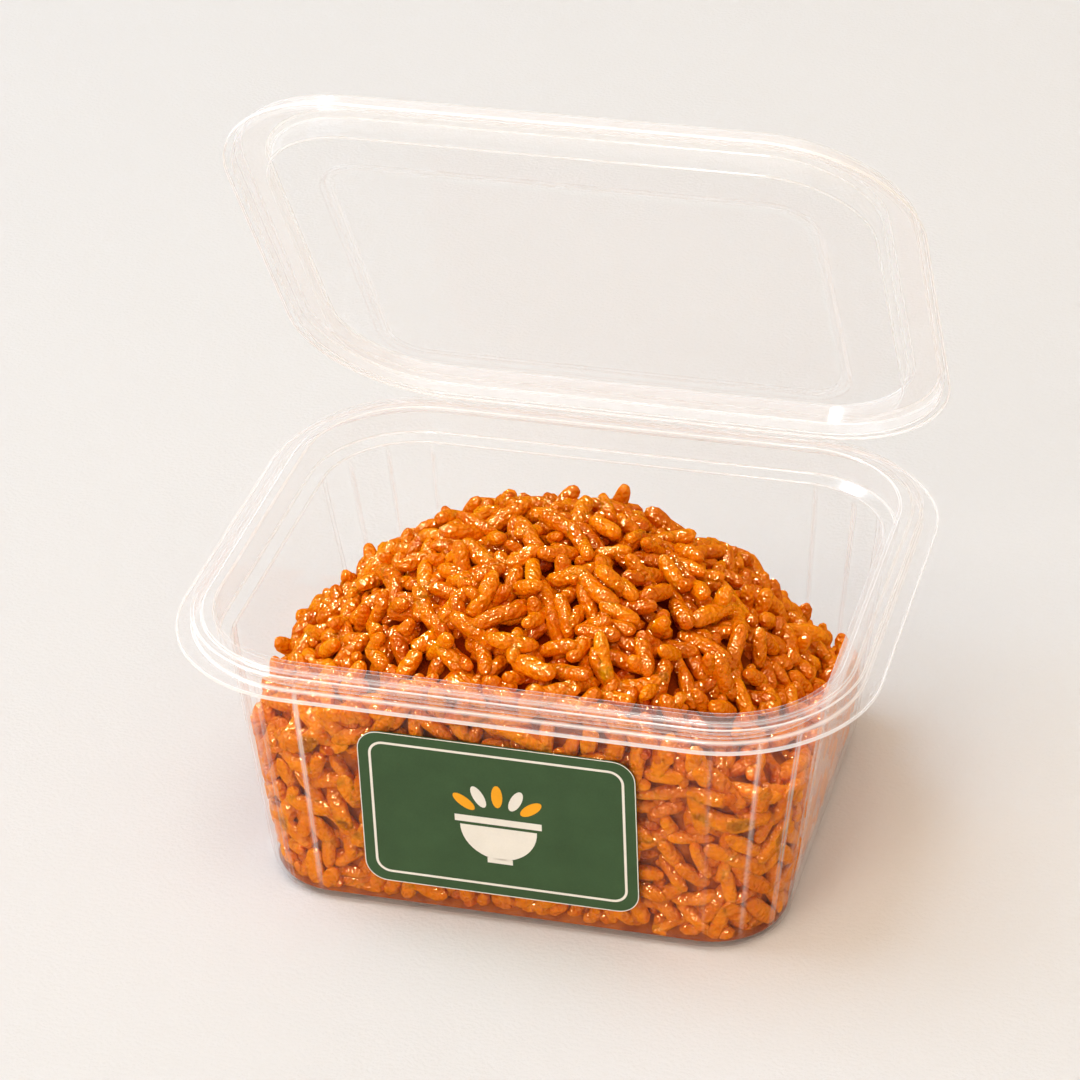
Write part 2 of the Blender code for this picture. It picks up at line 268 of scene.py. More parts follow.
def makeTub():
    v = tubValues
    s, groove = v["sheet"], v["sheet"] + v["grooveRise"]
    runOut, wallTop, stepZ = v["ridgeRunOut"], v["wallTopZ"], rimZ - v["rimStep"]
    # half sizes and corner radius, height, share of the ribs, rounding, whiteness (partly painted highlight)
    path = [
        (*footSize(v["grooveIn"] + v["grooveSlope"]), s, 0, 0.0, 0.0),
        (*footSize(v["grooveIn"]), groove, 0, 0.3, 0.3),
        (*footSize(v["grooveOut"]), groove, 0, 0.3, 0.3),
        (*footSize(v["grooveOut"] - v["grooveSlope"]), s, 0, 0.3, 0.3),
        (*footSize(0.0), s, 0, v["footFillet"], 0.08),
        (*wallSize(v["footFillet"] + runOut), v["footFillet"] + runOut, 1, 0.0, 0.0),
        (*wallSize(wallTop - runOut), wallTop - runOut, 1, 0.0, 0.0),
        (*wallSize(wallTop), wallTop, 0, 0.5, 0.7),
        (*flangeSize(v["seatInset"]), v["seatZ"], 0, 0.25, 0.5),
        (*flangeSize(v["rimInner"]), rimZ, 0, 0.3, 1.0),
        (*flangeSize(v["rimStepAt"]), rimZ, 0, 0.12, 0.6),
        (*flangeSize(v["rimStepAt"] - v["rimStepRun"]), stepZ, 0, 0.12, 0.6),
        (*flangeSize(v["rimOuter"]), stepZ, 0, 0.35, 1.0),
        (*flangeSize(v["rimOuter"]), flangeZ, 0, 0.25, 0.9),
        (*flangeSize(v["edgeWhite"]), flangeZ, 0, 0.0, 0.0),
        (*flangeSize(0.0), flangeZ, 0, 0.0, 1.0),
    ]
    smooth, whites = roundedPath(path)
    angles = ribbedAngles()
    ribs = [ridgeAt(angle, weights, v["ridgeSharp"]) for weights in v["ridgeWhite"] for angle in angles]
    rows, whitesAndPaintedHighlights = [], []
    for (halfX, halfY, radius, z, ridge), white in zip(smooth, whites):
        rows.append(roundRect(halfX, halfY, radius, z, angles, ridge * v["ridgeHeight"]))
        leastWhite = v["rimWhite"] if z > v["seatZ"] else 0.0
        # the ribs carry painted highlight, stronger up the wall
        fade = ridge * (v["ridgeFootWhite"] + (1.0 - v["ridgeFootWhite"]) * z / wallTop)
        whitesAndPaintedHighlights.append([max(white, leastWhite, fade * rib) for rib in ribs])
    mesh = sheetMesh("tubFilm", rows, whitesAndPaintedHighlights, v["sheet"], 1.0)
    smoothShade(mesh)
    return linkObject("tubFilm", mesh)


def makeHinge():
    # the bead moulded along the back flange, which the lid's film folds about
    v = tubValues
    form = bmesh.new()
    radius = v["hingeBead"] * mm
    bmesh.ops.create_cone(
        form, cap_ends=True, segments=v["hingeSides"], radius1=radius, radius2=radius,
        depth=v["hingeLength"] * mm, matrix=Matrix.Rotation(math.radians(90.0), 4, "Y"),
    )
    bmesh.ops.translate(form, verts=form.verts, vec=Vector((0.0, hingeY, hingeZ)) * mm)
    mesh = bpy.data.meshes.new("hingeBead")
    form.to_mesh(mesh)
    form.free()
    smoothShade(mesh)
    return linkObject("hingeBead", mesh)


# the lid

lidValues = {
    "sheet": 0.6,
    "gap": 0.3,               # between the lid's flange and the tub's
    "edgeInset": 0.5,         # insets from the flange's edge
    "edgeWhite": 0.4,
    "riserInset": 2.5,
    "crownZ": 3.8,            # heights above the hinge line
    "crownInset": 8.9,
    "plugInset": 9.4,
    "chamfer": 0.8,
    "panelZ": -1.4,
    "markInset": 20.0,        # the low ridge pressed round the panel
    "markWidth": 2.4,
    "markRise": 0.9,
    "openDeg": 58.0,
    # whiteness of the raised ring, partly painted highlight
    "ringWhite": 0.16,
    "cornerSteps": 24,
}


def makeLid():
    # modelled shut about the hinge line, then swung open
    v = lidValues
    panelZ, markZ = v["panelZ"], v["panelZ"] + v["markRise"]
    crownZ, slopeZ = v["crownZ"], v["crownZ"] - v["chamfer"]
    # half sizes and corner radius, height, rounding, whiteness (partly painted highlight)
    path = [
        (*flangeSize(v["markInset"] + v["markWidth"]), panelZ, 0.0, 0.0),
        (*flangeSize(v["markInset"] + 0.7 * v["markWidth"]), markZ, 0.5, 0.1),
        (*flangeSize(v["markInset"] + 0.3 * v["markWidth"]), markZ, 0.5, 0.1),
        (*flangeSize(v["markInset"]), panelZ, 0.5, 0.15),
        (*flangeSize(v["plugInset"]), panelZ, 0.7, 0.6),
        (*flangeSize(v["crownInset"]), slopeZ, 0.3, 0.5),
        (*flangeSize(v["crownInset"] - v["chamfer"]), crownZ, 0.3, 0.6),
        (*flangeSize(v["riserInset"] + v["chamfer"]), crownZ, 0.3, 0.6),
        (*flangeSize(v["riserInset"]), slopeZ, 0.3, 0.5),
        (*flangeSize(v["riserInset"]), v["gap"], 0.3, 0.6),
        (*flangeSize(v["edgeInset"] + v["edgeWhite"]), v["gap"], 0.0, 0.0),
        (*flangeSize(v["edgeInset"]), v["gap"], 0.0, 1.0),
    ]
    smooth, whites = roundedPath(path)
    angles = [90.0 * i / v["cornerSteps"] for i in range(v["cornerSteps"] + 1)]
    rows = [roundRect(*row, angles) for row in smooth]
    leastWhite = [v["ringWhite"] if row[0][2] > v["gap"] else 0.0 for row in rows]
    whitesAndPaintedHighlights = [[max(white, least)] * len(row) for white, least, row in zip(whites, leastWhite, rows)]
    mesh = sheetMesh("lidFilm", rows, whitesAndPaintedHighlights, v["sheet"], -1.0)
    turn = Matrix.Rotation(math.radians(-v["openDeg"]), 4, "X")
    place = Matrix.Translation(Vector((0.0, hingeY, hingeZ)) * mm)
    mesh.transform(place @ turn @ Matrix.Translation(Vector((0.0, -hingeY, 0.0)) * mm))
    smoothShade(mesh)
    return linkObject("lidFilm", mesh)


# the rice: a dark core, painted shade between the grains, and grains over it

heapValues = {
    "topZ": 70.0,
    "edgeZ": 37.0,            # height of the rice a reach away from the heap's middle
    "floorZ": 17.0,           # the lowest that its surface gets, in the corners
    "centre": (2.5, -8.0),
    "reachLeft": 55.0,
    "reachRight": 51.0,
    "reachFront": 52.5,
    "reachBack": 41.0,
    "squareness": 2.4,        # 2 is an ellipse from above, more is squarer
    "fullness": 2.05,         # 1 is a cone from the side, more is rounder
    "searchFromZ": 45.0,      # where the search for the rice's edge at the wall starts
    "searchSteps": 4,
    "footRounding": 0.35,
    "leastRadius": 3.0,
    "reliefStart": 6.0,       # how fast the clumps grow from the wall inward
    "wallRows": 9,
    "topRows": 34,
    "cornerSteps": 16,
    "sideSteps": 14,
}


def heapHeight(x, y):
    v = heapValues
    reachY = v["reachFront"] if y < v["centre"][1] else v["reachBack"]
    reachX = v["reachRight"] if x > v["centre"][0] else v["reachLeft"]
    u = abs((x - v["centre"][0]) / reachX)
    w = abs((y - v["centre"][1]) / reachY)
    out = (u ** v["squareness"] + w ** v["squareness"]) ** (1.0 / v["squareness"])
    return max(v["edgeZ"] + (v["topZ"] - v["edgeZ"]) * (1.0 - out ** v["fullness"]), v["floorZ"])


def fullOutline(halfX, halfY, radius):
    # a rounded rectangle with points along its straight sides too, as (x, y)
    v = heapValues
    corners = []
    for quarter, (sx, sy) in enumerate(((1, 1), (-1, 1), (-1, -1), (1, -1))):
        arc = []
        for i in range(v["cornerSteps"] + 1):
            turn = math.radians(90.0 * (quarter + i / v["cornerSteps"]))
            x = sx * (halfX - radius) + radius * math.cos(turn)
            arc.append((x, sy * (halfY - radius) + radius * math.sin(turn)))
        corners.append(arc)
    points = []
    for arc, following in zip(corners, corners[1:] + corners[:1]):
        points += arc
        for i in range(1, v["sideSteps"]):
            t = i / v["sideSteps"]
            points.append(tuple(a + (b - a) * t for a, b in zip(arc[-1], following[0])))
    return points


def fillAt(z, inward):
    # outline of the filling at a height, rounding in at the foot
    v, h = tubValues, heapValues
    halfX, halfY, radius = wallSize(z)
    short = max(0.0, v["footFillet"] + v["sheet"] + v["grooveRise"] + 1.0 - z) * h["footRounding"]
    return fullOutline(halfX - inward - short, halfY - inward - short, max(radius - inward, h["leastRadius"]))


def wallRows(inward, bottomZ, drop):
    # rows up the tub's wall, each column ending at its own heap height
    v = heapValues
    tops = []
    for i, (x, y) in enumerate(fillAt(v["searchFromZ"], inward)):
        z = heapHeight(x, y) - drop
        for _ in range(v["searchSteps"]):
            px, py = fillAt(z, inward)[i]
            z = heapHeight(px, py) - drop
        tops.append(z)
    rows = []
    for k in range(v["wallRows"] + 1):
        t = k / v["wallRows"]
        row = []
        for i, topZ in enumerate(tops):
            z = bottomZ + (topZ - bottomZ) * t
            x, y = fillAt(z, inward)[i]
            row.append((x, y, z))
        rows.append(row)
    return rows


def topRows(edge, drop):
    # rows over the heap from the wall in to its middle
    v = heapValues
    rows = []
    for k in range(1, v["topRows"]):
        s = 1.0 - k / v["topRows"]
        near = min(1.0, v["reliefStart"] * (1.0 - s))
        inner = [(x * s, y * s) for x, y, _ in edge]
        rows.append([(x, y, heapHeight(x, y) + near * heapRelief(x, y) - drop) for x, y in inner])
    return rows


grainValues = {
    "kinds": 10,
    "length": 9.8,
    "lengthSpread": (0.72, 1.14),
    "width": 3.3,
    "widthSpread": (0.9, 1.1),
    "flatness": 0.93,
    "bluntness": 4.0,
    "bend": 0.4,
    "bendSpread": (-1.0, 1.6),
    "lump": 0.075,            # how far the lumps stand out, as a share of the width
    "lumpSpread": (5.0, 8.0),
    "pits": 0.06,
    "segments": 8,
    "rings": 8,
    "seed": 11,
}


def makeGrainKinds(folder):
    # plump cooked grains: blunt ends, a slight bend, and lumps along them
    v = grainValues
    rng = np.random.RandomState(v["seed"])
    for kind in range(v["kinds"]):
        form = bmesh.new()
        bmesh.ops.create_uvsphere(form, u_segments=v["segments"], v_segments=v["rings"], radius=1.0)
        # Blender gives a sphere's faces in another order each time, so they are put in one
        ordered = sorted(form.faces, key=lambda face: sorted(vert.index for vert in face.verts))
        for i, face in enumerate(ordered):
            face.index = i
        form.faces.sort()
        halfLength = 0.5 * v["length"] * rng.uniform(*v["lengthSpread"])
        halfWidth = 0.5 * v["width"] * rng.uniform(*v["widthSpread"])
        bend = v["bend"] * rng.uniform(*v["bendSpread"])
        waves = rng.uniform(0.0, 2.0 * math.pi, 5)
        beat = rng.uniform(*v["lumpSpread"])
        for vert in form.verts:
            along = vert.co.z
            around = math.atan2(vert.co.y, vert.co.x)
            thin = max(0.0, 1.0 - abs(along) ** v["bluntness"]) ** 0.5
            # rings along the grain, then lumps on one side, then smaller lumps on two
            lump = 0.6 * math.sin(beat * along + waves[4])
            lump += math.sin(6.0 * along + waves[0]) * math.cos(around + waves[1])
            lump += 0.8 * math.sin(9.5 * along + waves[2]) * math.cos(2.0 * around + waves[3])
            reach = halfWidth * thin * (1.0 + v["lump"] * lump + v["pits"] * rng.uniform(-1.0, 1.0))
            bow = bend * (along * along - 0.35)
            deep = reach * math.sin(around) * v["flatness"]
            vert.co = Vector((along * halfLength, reach * math.cos(around) + bow, deep)) * mm
        bmesh.ops.recalc_face_normals(form, faces=form.faces)
        mesh = bpy.data.meshes.new("grainKind")
        form.to_mesh(mesh)
        form.free()
        mesh.shade_smooth()
        folder.objects.link(bpy.data.objects.new(f"grainKind{kind}", mesh))


def grainTree(folder, material):
    # scatters the grain kinds over a surface: lifted off it, turned at random and tilted up to a limit
    tree = bpy.data.node_groups.new("scatterGrains", "GeometryNodeTree")
    tree.interface.new_socket("Geometry", in_out="INPUT", socket_type="NodeSocketGeometry")
    for name in ("Spacing", "Lift Low", "Lift High", "Tilt", "Size Low", "Size High", "Painted Light Level"):
        tree.interface.new_socket(name, in_out="INPUT", socket_type="NodeSocketFloat")
    tree.interface.new_socket("Seed", in_out="INPUT", socket_type="NodeSocketInt")
    tree.interface.new_socket("Geometry", in_out="OUTPUT", socket_type="NodeSocketGeometry")
    given = addNode(tree, "NodeGroupInput").outputs
    points = addNode(
        tree, "GeometryNodeDistributePointsOnFaces", {"distribute_method": "POISSON", "Density Max": 3e5},
        {"Mesh": given["Geometry"], "Distance Min": given["Spacing"], "Seed": given["Seed"]},
    )
    lift = addNode(
        tree, "FunctionNodeRandomValue", {"data_type": "FLOAT"},
        {2: given["Lift Low"], 3: given["Lift High"], "Seed": given["Seed"]},
    )
    offset = addNode(
        tree, "ShaderNodeVectorMath", {"operation": "SCALE"},
        {0: points.outputs["Normal"], "Scale": lift.outputs[1]},
    )
    moved = addNode(
        tree, "GeometryNodeSetPosition", {}, {"Geometry": points.outputs["Points"], "Offset": offset.outputs[0]},
    )
    minusTilt = addNode(tree, "ShaderNodeMath", {"operation": "MULTIPLY", 1: -1.0}, {0: given["Tilt"]})
    least = addNode(tree, "ShaderNodeCombineXYZ", {"X": -math.pi, "Z": -math.pi}, {"Y": minusTilt.outputs[0]})
    most = addNode(tree, "ShaderNodeCombineXYZ", {"X": math.pi, "Z": math.pi}, {"Y": given["Tilt"]})
    turn = addNode(
        tree, "FunctionNodeRandomValue", {"data_type": "FLOAT_VECTOR"},
        {0: least.outputs[0], 1: most.outputs[0], "Seed": given["Seed"]},
    )
    local = addNode(tree, "FunctionNodeEulerToRotation", {}, {"Euler": turn.outputs[0]})
    rotation = addNode(
        tree, "FunctionNodeRotateRotation", {"rotation_space": "LOCAL"},
        {"Rotation": points.outputs["Rotation"], "Rotate By": local.outputs[0]},
    )
    grow = addNode(
        tree, "FunctionNodeRandomValue", {"data_type": "FLOAT"},
        {2: given["Size Low"], 3: given["Size High"], "Seed": given["Seed"]},
    )
    kinds = addNode(
        tree, "GeometryNodeCollectionInfo",
        {"transform_space": "ORIGINAL", "Separate Children": True, "Reset Children": True, "Collection": folder},
    )
    placed = addNode(
        tree, "GeometryNodeInstanceOnPoints", {"Pick Instance": True},
        {
            "Points": moved.outputs[0], "Instance": kinds.outputs[0],
            "Rotation": rotation.outputs[0], "Scale": grow.outputs[1],
        },
    )
    # a tone for each grain, spread at random over a quarter of the colours, on top of its layer's painted light
    # level
    toneSeed = addNode(tree, "FunctionNodeRandomValue", {"data_type": "FLOAT", "Seed": 5})
    shade = addNode(
        tree, "ShaderNodeMath", {"operation": "MULTIPLY_ADD", 1: 0.25}, {0: toneSeed.outputs[1], 2: given["Painted Light Level"]},
    )
    tone = addNode(
        tree, "GeometryNodeStoreNamedAttribute", {"data_type": "FLOAT", "domain": "INSTANCE", "Name": "grainTone"},
        {"Geometry": placed.outputs[0], "Value": shade.outputs[0]},
    )
    solid = addNode(tree, "GeometryNodeRealizeInstances", {}, {"Geometry": tone.outputs[0]})
    finished = addNode(tree, "GeometryNodeSetMaterial", {"Material": material}, {"Geometry": solid.outputs[0]})
    addNode(tree, "NodeGroupOutput", {}, {0: finished.outputs[0]})
    return tree


def scatterGrains(name, surface, tree, values):
    # one layer of grains over a surface mesh, as a plain mesh
    thing = linkObject(name, surface)
    layer = thing.modifiers.new("grains", "NODES")
    layer.node_group = tree
    sockets = {s.name: s.identifier for s in tree.interface.items_tree if s.in_out == "INPUT"}
    for key, value in values.items():
        layer[sockets[key]] = value
    return bakedMesh(thing, name)


# layers of grains from the core outward, each lifted off its surface between two limits; deeper layers get a lower
# painted light level, which colours them darker as painted shade
layerValues = {
    "heapUnder": {
        "Spacing": 3.35 * mm, "Lift Low": -5.0 * mm, "Lift High": -3.6 * mm, "Tilt": 0.5,
        "Size Low": 0.8, "Size High": 1.0, "Seed": 3, "Painted Light Level": 0.05,
    },
    "heapMiddle": {
        "Spacing": 3.8 * mm, "Lift Low": -3.3 * mm, "Lift High": -1.7 * mm, "Tilt": 0.9,
        "Size Low": 0.85, "Size High": 1.08, "Seed": 8, "Painted Light Level": 0.25,
    },
    "heapOver": {
        "Spacing": 6.0 * mm, "Lift Low": -1.3 * mm, "Lift High": 0.1 * mm, "Tilt": 0.6,
        "Size Low": 0.9, "Size High": 1.15, "Seed": 12, "Painted Light Level": 0.35,
    },
    "heapLoose": {
        "Spacing": 11.0 * mm, "Lift Low": -0.8 * mm, "Lift High": 0.4 * mm, "Tilt": 1.2,
        "Size Low": 0.85, "Size High": 1.0, "Seed": 21, "Painted Light Level": 0.4,
    },
    "wallUnder": {
        "Spacing": 3.5 * mm, "Lift Low": -2.6 * mm, "Lift High": -1.6 * mm, "Tilt": 0.5,
        "Size Low": 0.85, "Size High": 1.1, "Seed": 14, "Painted Light Level": 0.2,
    },
    "wallOver": {
        "Spacing": 3.8 * mm, "Lift Low": -0.3 * mm, "Lift High": 0.7 * mm, "Tilt": 0.45,
        "Size Low": 0.85, "Size High": 1.2, "Seed": 4, "Painted Light Level": 0.4,
    },
    "footOver": {
        "Spacing": 3.4 * mm, "Lift Low": -0.3 * mm, "Lift High": 0.2 * mm, "Tilt": 0.25,
        "Size Low": 0.8, "Size High": 1.0, "Seed": 6, "Painted Light Level": 0.4,
    },
}

heapReliefValues = {
    "clump": 1.8,          # height of the clumps, and their width
    "clumpWidth": 14.0,
    "crumb": 1.2,
    "crumbWidth": 6.0,
}


def heapRelief(x, y):
    # clumps and crumbs on the heap; the third numbers pick two places of the noise
    v = heapReliefValues
    broad = noise.noise(Vector((x, y, 3.0)) / v["clumpWidth"])
    return v["clump"] * broad + v["crumb"] * noise.noise(Vector((x, y, 40.0)) / v["crumbWidth"])


pressValues = {
    "into": 0.12,             # how far a grain pressed on the film reaches into it
    "leastRadius": 2.0,
}


def joinMeshes(name, meshes):
    form = bmesh.new()
    for mesh in meshes:
        form.from_mesh(mesh)
    made = bpy.data.meshes.new(name)
    form.to_mesh(made)
    form.free()
    for material in meshes[0].materials:
        made.materials.append(material)
    return made


def pressIntoTub(mesh):
    # grains that would pass the film are flattened against it
    v, into = tubValues, pressValues["into"]
    count = len(mesh.vertices)
    co = np.zeros(count * 3)
    mesh.vertices.foreach_get("co", co)
    co = co.reshape(-1, 3) / mm
    z = co[:, 2]
    halfX, halfY, radius = wallSize(z)
    # the foot rounds in
    cosine = np.clip(1.0 - (z - v["sheet"]) / (v["footFillet"] - v["sheet"]), 0.0, 1.0)
    rounding = v["footFillet"] * (1.0 - np.sqrt(1.0 - cosine ** 2))
    halfX, halfY = halfX - rounding, halfY - rounding
    # above the seat the wall steps out to the rim's inner face
    above = np.clip((z - v["wallTopZ"]) / (v["seatZ"] - v["wallTopZ"]), 0.0, 1.0)
    widen = above * (v["wallTopInset"] - v["seatInset"])
    halfX, halfY, radius = halfX + widen, halfY + widen, radius + widen
    radius = np.maximum(radius, pressValues["leastRadius"])
    # how far each point is out of the rounded rectangle at its height, and which way
    qx = np.abs(co[:, 0]) - (halfX - radius)
    qy = np.abs(co[:, 1]) - (halfY - radius)
    px, py = np.maximum(qx, 0.0), np.maximum(qy, 0.0)
    corner = (qx > 0) & (qy > 0)
    span = np.hypot(px, py)
    distance = np.where(corner, span, np.maximum(qx, qy)) - radius
    over = np.maximum(distance - into, 0.0)
    nx = np.where(corner, px / np.maximum(span, 1e-6), (qx >= qy).astype(float))
    ny = np.where(corner, py / np.maximum(span, 1e-6), (qy > qx).astype(float))
    co[:, 0] -= np.sign(co[:, 0]) * nx * over
    co[:, 1] -= np.sign(co[:, 1]) * ny * over
    # nothing goes under the floor, which rises over the groove
    inFromFoot = np.minimum(v["footX"] - np.abs(co[:, 0]), v["footY"] - np.abs(co[:, 1]))
    onGroove = (inFromFoot > v["grooveOut"] - v["grooveSlope"]) & (inFromFoot < v["grooveIn"] + v["grooveSlope"])
    floorZ = v["sheet"] + np.where(onGroove, v["grooveRise"], 0.0) - into
    co[:, 2] = np.maximum(co[:, 2], floorZ)
    mesh.vertices.foreach_set("co", (co * mm).ravel())
    mesh.update()


riceShapeValues = {
    "coreInward": 2.4,        # the core, in from the film, and down from the heap's surface
    "coreBottomZ": 3.4,
    "coreDrop": 4.6,
    # at the foot the dark core reaches right out to the film, painted shade in the corner under the rice: heights
    # and insets from the foot's edge
    "shadedFoot": ((2.0, 7.5), (0.66, 5.3), (0.6, 2.6), (1.0, 1.05), (1.5, 0.35), (2.1, 0.0)),
    "grainInward": 1.6,       # the surfaces that the grains lie on
    "grainBottomZ": 4.0,
    "wallDrop": 0.6,
    "heapDrop": 1.2,
    "underside": ((0.1, 2.1), (0.5, 2.1), (0.95, 2.0), (0.99, 2.6)),   # shares of the outline, and heights
    "ringZ": (1.9, 3.4),      # the strip that the lowest grains lie on
    "ringInward": 1.3,
}


def makeRice(grainMaterial, coreMaterial):
    v = riceShapeValues
    folder = bpy.data.collections.new("grainKinds")
    makeGrainKinds(folder)
    tree = grainTree(folder, grainMaterial)
    coreWall = wallRows(v["coreInward"], v["coreBottomZ"], v["coreDrop"])
    shadedFootRows = [[(x, y, z) for x, y in fullOutline(*footSize(inset))] for z, inset in v["shadedFoot"]]
    coreRows = shadedFootRows + coreWall + topRows(coreWall[-1], v["coreDrop"])
    core = linkObject("riceCore", meshFromLoft("riceCore", coreRows, capLast=True))
    core.data.shade_smooth()
    core.data.materials.append(coreMaterial)
    print("rice core laid")
    outer = wallRows(v["grainInward"], v["grainBottomZ"], v["wallDrop"])
    heapRows = [outer[-1]] + topRows(outer[-1], v["heapDrop"])
    heap = meshFromLoft("heapSurface", heapRows, capFirst=False, capLast=True)
    foot = [[(x * s, y * s, z) for x, y, _ in outer[0]] for s, z in v["underside"]]
    side = meshFromLoft("sideSurface", foot + outer)
    ringRows = [[(x, y, z) for x, y in fillAt(z, v["ringInward"])] for z in v["ringZ"]]
    ring = meshFromLoft("footSurface", ringRows, capFirst=False)
    pieces = []
    packed = {
        "riceHeap": {"heapMiddle": heap, "heapOver": heap, "heapLoose": heap},
        "riceWall": {"wallOver": side, "footOver": ring},
        "riceUnder": {"heapUnder": heap, "wallUnder": side},
    }
    for name, surfaces in packed.items():
        layers = [scatterGrains(key, on.copy(), tree, layerValues[key]) for key, on in surfaces.items()]
        mesh = joinMeshes(name, layers)
        pressIntoTub(mesh)
        mesh.shade_smooth()
        pieces.append(linkObject(name, mesh))
        triangles = sum(len(p.vertices) - 2 for p in mesh.polygons)
        print(name, "has", triangles, "triangles")
    for thing in list(folder.objects):
        bpy.data.objects.remove(thing)
    bpy.data.collections.remove(folder)
    return core, pieces


# the label

labelValues = {
    "thickness": 0.3,
    "airGap": 0.2,            # between the tub's outer face and the label's back
    "inkRise": 0.05,
    "cutInset": 0.02,
    "cutEdge": 0.16,
    "cutRadius": 4.4,
    "keylineInset": 2.2,
    "keylineWidth": 0.5,
    "keylineRadius": 3.0,
    "bowlRadius": 7.6,
    "bowlY": -1.5,            # the bowl's brim, from the label's middle
    "bowlSteps": 24,
    "rimHeight": 1.5,
    "rimReach": 1.0,
    "rimOverlap": 0.8,
    "footWidth": 5.0,
    "footHeight": 1.2,
    "footOverlap": 0.3,
    "grainLong": 2.6,
    "grainWide": 1.1,
    "grainSteps": 20,
    "grainArc": 8.4,
    "grainArcFlat": 0.62,
    "grainArcRise": 2.2,
    "grainFanDeg": 26.0,
    "grainCount": 5,
}


def flatShape(form, outline, place, thickness, slot):
    # a thin inked patch from an outline in label space
    base = [form.verts.new(place @ Vector((x, y, 0.0))) for x, y in outline]
    top = [form.verts.new(place @ Vector((x, y, thickness))) for x, y in outline]
    faces = [form.faces.new(list(reversed(base))), form.faces.new(top)]
    for i in range(len(outline)):
        j = (i + 1) % len(outline)
        faces.append(form.faces.new((base[i], base[j], top[j], top[i])))
    for face in faces:
        face.material_index = slot


def roundPatch(halfW, halfH, radius, steps=8):
    points = []
    for quarter, (sx, sy) in enumerate(((1, 1), (-1, 1), (-1, -1), (1, -1))):
        for i in range(steps + 1):
            turn = math.radians(90.0 * (quarter + i / steps))
            x = sx * (halfW - radius) + radius * math.cos(turn)
            points.append((x, sy * (halfH - radius) + radius * math.sin(turn)))
    return points


def makeLabelPrint():
    # drawn in label space: x to the right, y up the wall, z out of it, in millimetres
    v = labelValues
    low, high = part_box("label")
    tall = high.z - low.z
    back = wallSize((low.z / mm + high.z / mm) * 0.5)[1]
    lowHalf, highHalf = wallSize(low.z / mm)[1], wallSize(high.z / mm)[1]
    lean = math.atan2((highHalf - lowHalf) * mm, tall)
    middleY = -(back + tubValues["sheet"] + v["airGap"] + v["thickness"]) * mm
    middle = Vector(((low.x + high.x) * 0.5, middleY, (low.z + high.z) * 0.5))
    place = Matrix.Translation(middle) @ Matrix.Rotation(math.radians(90.0) + lean, 4, "X") @ Matrix.Scale(mm, 4)
    halfW, halfH = 0.5 * (high.x - low.x) / mm, 0.5 * tall / mm
    form = bmesh.new()
    rise = v["inkRise"]
    # the paper's pale cut edge, and a keyline inside it, each between an outer and an inner outline
    cutEdge = (v["cutInset"], v["cutEdge"], v["cutRadius"])
    keyline = (v["keylineInset"], v["keylineWidth"], v["keylineRadius"])
    for inset, width, radius in (cutEdge, keyline):
        outer = roundPatch(halfW - inset, halfH - inset, radius)
        inner = roundPatch(halfW - inset - width, halfH - inset - width, radius - width)
        profile = ((0, outer), (rise, outer), (rise, inner), (0, inner))
        rings = [[form.verts.new(place @ Vector((x, y, z))) for x, y in line] for z, line in profile]
        for a, b in zip(rings, rings[1:] + rings[:1]):
            for i in range(len(a)):
                j = (i + 1) % len(a)
                form.faces.new((a[i], a[j], b[j], b[i]))
    # a plain bowl with a foot and a rim
    bowlTurns = [math.radians(180 + 180 * i / v["bowlSteps"]) for i in range(v["bowlSteps"] + 1)]
    bowl = [(v["bowlRadius"] * math.cos(a), v["bowlY"] + v["bowlRadius"] * math.sin(a)) for a in bowlTurns]
    flatShape(form, bowl, place, rise, 0)
    bar = [(-0.5, -1), (0.5, -1), (0.5, 0), (-0.5, 0)]
    footY = v["bowlY"] - v["bowlRadius"]
    foot = [(x * v["footWidth"], footY + y * v["footHeight"] + v["footOverlap"]) for x, y in bar]
    flatShape(form, foot, place, rise, 0)
    rimWidth, rimY = 2.0 * (v["bowlRadius"] + v["rimReach"]), v["bowlY"] + v["rimHeight"] - v["rimOverlap"]
    rim = [(x * rimWidth, rimY + (y + 1.0) * v["rimHeight"]) for x, y in bar]
    flatShape(form, rim, place, rise, 0)
    # grains fanned over it
    for i in range(v["grainCount"]):
        turn = math.radians(90.0 + v["grainFanDeg"] * (i - (v["grainCount"] - 1) / 2))
        cosine, sine = math.cos(turn), math.sin(turn)
        cx = v["grainArc"] * cosine
        cy = v["bowlY"] + v["grainArcRise"] + v["grainArc"] * v["grainArcFlat"] * sine
        grain = []
        for k in range(v["grainSteps"]):
            a = 2 * math.pi * k / v["grainSteps"]
            gx, gy = v["grainLong"] * math.cos(a), v["grainWide"] * math.sin(a)
            grain.append((cx + gx * cosine - gy * sine, cy + gx * sine + gy * cosine))
        flatShape(form, grain, place, rise, 1 if i % 2 == 0 else 0)
    bmesh.ops.recalc_face_normals(form, faces=form.faces)
    mesh = bpy.data.meshes.new("labelPrint")
    form.to_mesh(mesh)
    form.free()
    return linkObject("labelPrint", mesh)


# materials

